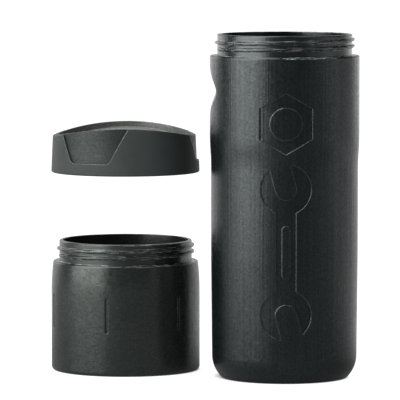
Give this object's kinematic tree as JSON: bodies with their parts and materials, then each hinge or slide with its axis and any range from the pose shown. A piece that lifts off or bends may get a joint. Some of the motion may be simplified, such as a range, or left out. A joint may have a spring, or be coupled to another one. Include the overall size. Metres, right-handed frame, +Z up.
{
  "type": "bottle-cage tool canister",
  "caption": "Screw-together storage canister for a bicycle bottle cage: open bottle, extension section and lifted screw cap.",
  "frame": {"origin": "on the floor plane, at the middle of the footprint of the whole set", "axes": "+Z up along the bottle's axis, +X from the extension towards the bottle, front of the set towards -Y"},
  "size_m": [0.1544, 0.1086, 0.1708],
  "materials": {
    "body_plastic": "black moulded polypropylene, semi-gloss with a fine orange-peel texture",
    "cap_core_plastic": "black moulded plastic, fine matt texture",
    "cap_grip_plastic": "black moulded plastic, matt",
    "seal_rubber": "black flat rubber washer"
  },
  "bodies": {
    "bottle": {"bottle_shell": "body_plastic"},
    "extension_seal": {"extension_seal": "seal_rubber"},
    "extension": {"extension_shell": "body_plastic"},
    "cap_seal": {"cap_seal": "seal_rubber"},
    "cap": {"cap_core": "cap_core_plastic", "cap_grip_ring": "cap_grip_plastic"}
  },
  "joints": [
    {"name": "extension_lift", "type": "slide", "parent": "bottle", "child": "extension_seal", "axis": [0, 0, 1], "range_m": [0, 0.18]},
    {"name": "extension_turn", "type": "hinge", "parent": "extension_seal", "child": "extension", "pos_m": [-0.03968, 0.01682, 0], "axis": [0, 0, 1], "continuous": true},
    {"name": "cap_lift", "type": "slide", "parent": "extension", "child": "cap_seal", "axis": [0, 0, 1], "range_m": [-0.0448, 0]},
    {"name": "cap_turn", "type": "hinge", "parent": "cap_seal", "child": "cap", "pos_m": [-0.03968, 0.01682, 0.0999], "axis": [0, 0, 1], "range_deg": [-5040, 0]}
  ],
  "couplings": [
    {"joint": "cap_lift", "follows": "cap_turn", "m_per_rad": 0.0005093}
  ]
}
